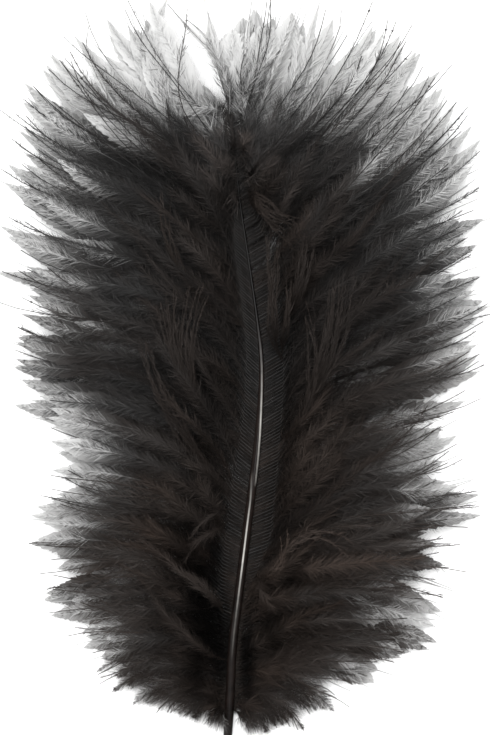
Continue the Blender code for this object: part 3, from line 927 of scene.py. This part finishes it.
# Painted shade: each hollow darkens the down's colour there; a negative strength paints light instead.
PAINTED_HOLLOWS = (
    (-8.2, -41.5, 3.4, 11.0, 0.95),
    (-5.2, -33.0, 1.6, 6.0, 0.85),
    (-4.4, -46.0, 2.3, 10.0, 0.95),
    (0.3, -49.5, 1.5, 8.0, 0.95),
    (5.0, -44.5, 2.4, 4.0, 0.8),
    (8.5, -34.0, 2.0, 3.0, 0.6),
    (-11.5, -30.0, 3.5, 6.0, 0.6),
    (-15.0, -42.0, 3.0, 8.0, 0.4),
    (-9.5, -54.0, 3.0, 3.5, 0.7),
    (-1.0, 42.0, 9.0, 7.5, -0.7),
    (5.5, -22.0, 2.0, 9.0, 0.4),
    (7.0, -5.0, 2.2, 12.0, 0.4),
    (-6.5, -8.0, 2.0, 14.0, 0.3),
    (18.5, 23.5, 4.0, 2.2, 0.5),
)


def painted_hollow_shade(points):
    """Painted shade for the plume's hollows, and with a negative strength painted light for its thin
    places, as a factor on the strands' lightness.
    """
    light = np.ones(len(points))
    for x, y, half_x, half_y, strength in PAINTED_HOLLOWS:
        away = np.hypot((points[:, 0] - x) / half_x, (points[:, 1] - y) / half_y)
        light *= 1.0 - strength * (1.0 - smooth_step(away, 0.6, 1.3))
    return light


def strand_facts(plan, barb, along, pale, out):
    """The facts of some points, one row for each."""
    return np.stack([along, out, plan["warmth"][barb], plan["lightness"][barb], pale, barb], axis=1)


def strand_block(points, plan, barb, along, pale, shape, out):
    """Points, triangles and facts of strands that all have the same few triangles."""
    corners = points.shape[1]
    first_corner = corners * np.arange(len(points))[:, None, None]
    triangles = (first_corner + np.array(shape)[None]).reshape(-1, 3)
    barb, along, pale = (np.repeat(v, corners) for v in (barb, along, pale))
    facts = strand_facts(plan, barb, along, pale, np.tile(out, len(points)))
    return points.reshape(-1, 3), triangles, facts


def down_mesh(name, blocks, first, last):
    """One mesh of all the blocks, with the facts as attributes and the UV map."""
    shift = np.cumsum([0] + [len(points) for points, _, _ in blocks[:-1]])
    cloud = np.concatenate([points for points, _, _ in blocks])
    triangles = np.concatenate([part + move for (_, part, _), move in zip(blocks, shift)])
    facts = np.concatenate([part for _, _, part in blocks])
    lying = facts[:, 5] < BARBS_PER_SIDE
    # Painted shade and light: the hollows scale the strands' lightness fact.
    facts[lying, 3] = facts[lying, 3] * painted_hollow_shade(cloud[lying])
    cloud[:, 2] = np.maximum(cloud[:, 2], FLOOR_CLEARANCE)
    mesh = bpy.data.meshes.new(name)
    mesh.vertices.add(len(cloud))
    mesh.vertices.foreach_set("co", (cloud * MM).astype(np.float32).ravel())
    mesh.loops.add(triangles.size)
    mesh.loops.foreach_set("vertex_index", triangles.astype(np.int32).ravel())
    mesh.polygons.add(len(triangles))
    mesh.polygons.foreach_set("loop_start", np.arange(0, triangles.size, 3, dtype=np.int32))
    mesh.update(calc_edges=True)
    for column, fact in enumerate(("along", "out", "warmth", "lightness", "pale")):
        layer = mesh.attributes.new(fact, "FLOAT", "POINT")
        layer.data.foreach_set("value", facts[:, column].astype(np.float32))
    band = (facts[:, 5] - first + 0.1 + 0.35 * facts[:, 1] + 0.45 * facts[:, 4]) / (last - first)
    corner = np.arange(len(cloud)) % 3 * 0.001
    uv = np.stack([0.01 + 0.97 * facts[:, 0] + corner, band], axis=1)
    uv_layer = mesh.uv_layers.new(name="OFBake")
    uv_layer.data.foreach_set("uv", uv[triangles.ravel()].astype(np.float32).ravel())
    print(name, "has", len(triangles), "triangles")
    return mesh


def build_down(name, plan, first, last):
    blocks = [make_stems(plan, first, last), make_film(plan, first, last)]
    for group, maker, shape, out in (
        ("fine", fine_barbules, [(0, 1, 2)], [0.1, 0.12, 0.95]),
        ("stiff", stiff_barbules, [(0, 1, 2), (2, 1, 3)], [0.1, 0.5, 0.52, 0.95]),
    ):
        chosen = (plan[group][0] >= first) & (plan[group][0] < last)
        barb, along, own, pale = (part[chosen] for part in plan[group])
        points = maker(plan, barb, along, own, pale)
        blocks.append(strand_block(points, plan, barb, along, pale, shape, out))
    piece = bpy.data.objects.new(name, down_mesh(name, blocks, first, last))
    bpy.context.scene.collection.objects.link(piece)
    return piece


down_pieces = []
for name, plan in plans.items():
    tufts = plan["tuft"].max() + 1
    covers = (plan["kind"] == COVER).astype(float)
    tint = rng.normal(0.0, 0.12, tufts)[plan["tuft"]]
    shade = rng.normal(0.0, 0.06, tufts)[plan["tuft"]] + rng.normal(0.0, 0.045, plan["count"])
    lower_part = 1.0 - smooth_step(plan["root_y"], -50.0, 10.0)
    plan["warmth"] = np.clip(0.08 + 0.52 * lower_part + 0.25 * covers + tint, 0.0, 1.0)
    plan["lightness"] = np.clip(0.45 + 0.04 * covers + 0.12 * plan["top"] + shade, 0.0, 1.0)
    last_stray = BARBS_PER_SIDE + len(plan["strays"])
    drawn = slice(BARBS_PER_SIDE, last_stray)
    plan["warmth"][drawn], plan["lightness"][drawn] = plan["strays"][:, 10:].T
    share = np.cumsum(np.bincount(plan["fine"][0], minlength=plan["count"])) / len(plan["fine"][0])
    edges = [0, *np.searchsorted(share, [1 / 3, 2 / 3]), plan["count"]]
    for part, first, last in zip(PIECE_NAMES, edges, edges[1:]):
        piece = build_down(f"down_{name}_{part}", plan, int(first), int(last))
        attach(piece, "root")
        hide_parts(f"down_{name}")
        down_pieces.append(piece)

# %% [markdown]
# ## The colour of dyed down
#
# Black dye on brown down never comes out even. Some tufts keep a warm brown, others go to a
# neutral charcoal. The barbs' bases, deep in the plume, and the web beside the shaft are darkened
# as painted shade. The colour is mixed from the strands' own facts, with a slow noise over the
# whole plume. A few small helpers first make the nodes and join them up, so that the finishes
# themselves stay short.

# %% Helpers for nodes
def new_material(name):
    material = bpy.data.materials.new(name)
    material.use_nodes = True
    return material, material.node_tree.nodes, material.node_tree.links


def noise(nodes, links, scale, detail):
    place = nodes.new("ShaderNodeTexCoord")
    texture = nodes.new("ShaderNodeTexNoise")
    texture.inputs["Scale"].default_value = scale
    texture.inputs["Detail"].default_value = detail
    links.new(place.outputs["Object"], texture.inputs["Vector"])
    return texture.outputs["Fac"]


def fact(nodes, name):
    reader = nodes.new("ShaderNodeAttribute")
    reader.attribute_name = name
    return reader.outputs["Fac"]


def ramp(nodes, links, value, stops):
    """A colour ramp through (place, colour) stops."""
    node = nodes.new("ShaderNodeValToRGB")
    while len(node.color_ramp.elements) < len(stops):
        node.color_ramp.elements.new(1.0)
    for element, (place, colour) in zip(node.color_ramp.elements, stops):
        element.position = place
        element.color = (*colour, 1.0)
    links.new(value, node.inputs["Fac"])
    return node.outputs["Color"]


def mixed(nodes, links, kind, share, first, second):
    """Two colours mixed; share and the colours are sockets or plain values."""
    node = nodes.new("ShaderNodeMix")
    node.data_type = "RGBA"
    node.blend_type = kind
    sockets = (node.inputs["Factor"], node.inputs[6], node.inputs[7])
    for socket, value in zip(sockets, (share, first, second)):
        if isinstance(value, bpy.types.NodeSocket):
            links.new(value, socket)
        elif isinstance(value, tuple):
            socket.default_value = (*value, 1.0)
        else:
            socket.default_value = value
    return node.outputs[2]


def sums(nodes, links, kind, first, second):
    node = nodes.new("ShaderNodeMath")
    node.operation = kind
    for socket, value in zip(node.inputs, (first, second)):
        if isinstance(value, bpy.types.NodeSocket):
            links.new(value, socket)
        else:
            socket.default_value = value
    return node.outputs["Value"]


def mapped(nodes, links, value, source, target):
    node = nodes.new("ShaderNodeMapRange")
    node.inputs["From Min"].default_value, node.inputs["From Max"].default_value = source
    node.inputs["To Min"].default_value, node.inputs["To Max"].default_value = target
    links.new(value, node.inputs["Value"])
    return node.outputs["Result"]


# %% Make the down's material
CHARCOAL = (0.0208, 0.02, 0.0198)
WARM_BROWN = (0.0336, 0.0248, 0.0204)
PALE_GREY = (0.46, 0.46, 0.457)


def down_material():
    material, nodes, links = new_material("dyed_down")
    shader = nodes["Principled BSDF"]
    slow = noise(nodes, links, 45.0, 3.0)
    warmth = sums(nodes, links, "ADD", fact(nodes, "warmth"), sums(nodes, links, "SUBTRACT", slow, 0.5))
    dye = mixed(nodes, links, "MIX", warmth, CHARCOAL, WARM_BROWN)
    # Painted shade: the barbs' bases and the web are made darker in colour.
    painted_base_shade = ramp(nodes, links, fact(nodes, "along"), [
        (0.0, (0.8, 0.8, 0.8)), (0.16, (0.42, 0.41, 0.4)),
        (0.5, (0.85, 0.85, 0.85)), (1.0, (1.0, 1.0, 1.0))])
    dye = mixed(nodes, links, "MULTIPLY", 1.0, dye, painted_base_shade)
    # The lightness fact carries each tuft's own tone and the hollows' painted shade and painted light.
    tone_and_painted_hollows = ramp(nodes, links, fact(nodes, "lightness"), [
        (0.0, (0.05, 0.05, 0.05)), (0.25, (0.6, 0.6, 0.6)),
        (0.5, (1.0, 1.0, 1.0)), (1.0, (2.3, 2.3, 2.3))])
    dye = mixed(nodes, links, "MULTIPLY", 1.0, dye, tone_and_painted_hollows)
    dye = mixed(nodes, links, "MIX", fact(nodes, "pale"), dye, PALE_GREY)
    links.new(dye, shader.inputs["Base Color"])
    shader.inputs["Roughness"].default_value = 0.6
    shader.inputs["Specular IOR Level"].default_value = 0.06
    return material


down_finish = down_material()
for piece in down_pieces:
    piece.data.materials.append(down_finish)
print(down_finish.name, "is on", len(down_pieces), "pieces")

# %% [markdown]
# ## The shaft's finish
#
# The shaft is dyed keratin, dark red-brown and slightly glossy. Its groove has two ridges, and a
# pale line is painted along them as a highlight, in the colour rather than by the light. The
# painted highlight runs on the left ridge low on the plume and changes to the right one higher up,
# then fades out under the down. Each part of it is a few rows: y, how far right of the shaft's
# middle it lies, and how pale it is. The shader knows the shaft's middle, so the painted highlight
# follows its curve. The shaft's dark colour is also scaled over y: much darker as painted shade
# where it runs under the down at the top, and a little darker towards the quill.

# %% Make the shaft's material
# Painted highlight on the shaft's ridges: each row is y, offset right of the middle in mm, and paleness.
LEFT_GLINT = np.array([
    (-50.0, 0.0, 0.0), (-46.1, 0.0, 0.1), (-42.5, 0.0, 0.1), (-38.9, -0.05, 0.28),
    (-35.3, -0.04, 0.45), (-31.7, -0.04, 0.95), (-28.1, -0.04, 0.78), (-24.5, -0.04, 0.6),
    (-20.9, -0.02, 0.28), (-17.3, -0.3, 0.12), (-15.5, -0.3, 0.0),
])
RIGHT_GLINT = np.array([
    (-18.5, 0.5, 0.0), (-17.3, 0.5, 0.28), (-13.7, 0.48, 0.39), (-10.1, 0.31, 0.62), (-6.5, 0.22, 0.7),
    (-2.9, 0.13, 0.48), (0.7, 0.06, 0.24), (4.3, 0.02, 0.1), (7.9, 0.06, 0.02), (11.5, 0.1, 0.0),
])
GLINT_HALF = 0.14
GLINT_GREY = (0.41, 0.395, 0.37)
# The shaft's dark colour scaled over y: much darker as painted shade under the down at the top, a little
# darker towards the quill.
PAINTED_SHADE_OVER_Y = [(-71.0, 0.65), (-45.0, 0.75), (-20.0, 1.0), (2.0, 1.0), (12.0, 0.15)]


def shaft_material():
    material, nodes, links = new_material("dyed_keratin")
    shader = nodes["Principled BSDF"]
    place = nodes.new("ShaderNodeTexCoord")
    split = nodes.new("ShaderNodeSeparateXYZ")
    links.new(place.outputs["Object"], split.inputs["Vector"])
    along = mapped(nodes, links, split.outputs["Y"], (-0.071, 0.049), (0.0, 1.0))

    def over_y(rows):
        stops = [((y + 71.0) / 120.0, (value, value, value)) for y, value in rows]
        return ramp(nodes, links, along, stops)

    across = mapped(nodes, links, split.outputs["X"], (-0.005, 0.005), (0.0, 1.0))
    glint_bands = []
    for rows in (LEFT_GLINT, RIGHT_GLINT):
        x = shaft_rows[::2, 1] + np.interp(shaft_rows[::2, 0], rows[:, 0], rows[:, 1])
        centre = over_y([(y, 0.5 + mm / 10.0) for y, mm in zip(shaft_rows[::2, 0], x)])
        away = sums(nodes, links, "ABSOLUTE", sums(nodes, links, "SUBTRACT", across, centre), 0.0)
        band = mapped(nodes, links, away, (GLINT_HALF * 0.06, GLINT_HALF * 0.14), (1.0, 0.0))
        glint_bands.append(sums(nodes, links, "MULTIPLY", band, over_y(rows[:, ::2])))
    glint = sums(nodes, links, "MAXIMUM", *glint_bands)
    streaks = noise(nodes, links, 700.0, 4.0)
    dark = ramp(nodes, links, streaks, [(0.3, (0.004, 0.0028, 0.0024)), (0.7, (0.011, 0.0072, 0.006))])
    dark = mixed(nodes, links, "MULTIPLY", 1.0, dark, over_y(PAINTED_SHADE_OVER_Y))
    glint = sums(nodes, links, "MULTIPLY", glint, mapped(nodes, links, streaks, (0.3, 0.6), (0.75, 1.0)))
    # The painted highlight is mixed in as a pale grey over the dark colour.
    colour = mixed(nodes, links, "MIX", glint, dark, GLINT_GREY)
    links.new(colour, shader.inputs["Base Color"])
    shader.inputs["Roughness"].default_value = 0.35
    shader.inputs["Specular IOR Level"].default_value = 0.12
    return material


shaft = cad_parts["shaft"]
shaft.data.materials.clear()
shaft.data.materials.append(shaft_material())

# %% [markdown]
# ## Floor, light and camera
#
# The plume lies on a plain white sheet under wide soft light, with the camera straight above it.
# A long lens from far off keeps the high fluff from looking larger than the low tips.

# %% Floor and light
SKY_STRENGTH = 0.94
KEY_WATTS = 27.5
bpy.ops.object.select_all(action="DESELECT")
bpy.ops.mesh.primitive_plane_add(size=6.0, location=(0.0, 0.0, 0.0))
floor = bpy.context.object
floor.name = "floor"
floor_material, floor_nodes, _ = new_material("white_sheet")
floor_nodes["Principled BSDF"].inputs["Base Color"].default_value = (0.9, 0.9, 0.9, 1.0)
floor_nodes["Principled BSDF"].inputs["Roughness"].default_value = 0.9
floor.data.materials.append(floor_material)

world = bpy.data.worlds.new("studio")
world.use_nodes = True
world.node_tree.nodes["Background"].inputs["Color"].default_value = (1.0, 1.0, 1.0, 1.0)
world.node_tree.nodes["Background"].inputs["Strength"].default_value = SKY_STRENGTH
bpy.context.scene.world = world


def soft_light(name, place, size, power):
    bpy.ops.object.light_add(type="AREA", location=place)
    lamp = bpy.context.object
    lamp.name = name
    lamp.data.shape = "DISK"
    lamp.data.size = size
    lamp.data.energy = power
    lamp.rotation_mode = "QUATERNION"
    lamp.rotation_quaternion = (-lamp.location).to_track_quat("-Z", "Y")


soft_light("key", (-0.25, 0.35, 1.2), 1.3, KEY_WATTS)
bpy.context.scene.view_settings.view_transform = "Standard"

# %% Camera
PIXEL_MM = 0.18
PHOTO_SIZE = (490, 735)
FOCUS_HEIGHT = 5.0
CAMERA_HEIGHT = 900.0
bpy.ops.object.camera_add(location=(-0.1 * MM, 3.0 * MM, CAMERA_HEIGHT * MM), rotation=(0.0, 0.0, 0.0))
camera = bpy.context.object
camera.name = "camera"
camera.data.sensor_width = 36.0
camera.data.lens = 36.0 * (CAMERA_HEIGHT - FOCUS_HEIGHT) / (PHOTO_SIZE[1] * PIXEL_MM)
camera.data.clip_end = 20.0
bpy.context.scene.camera = camera
print("lens in mm:", round(camera.data.lens, 1))
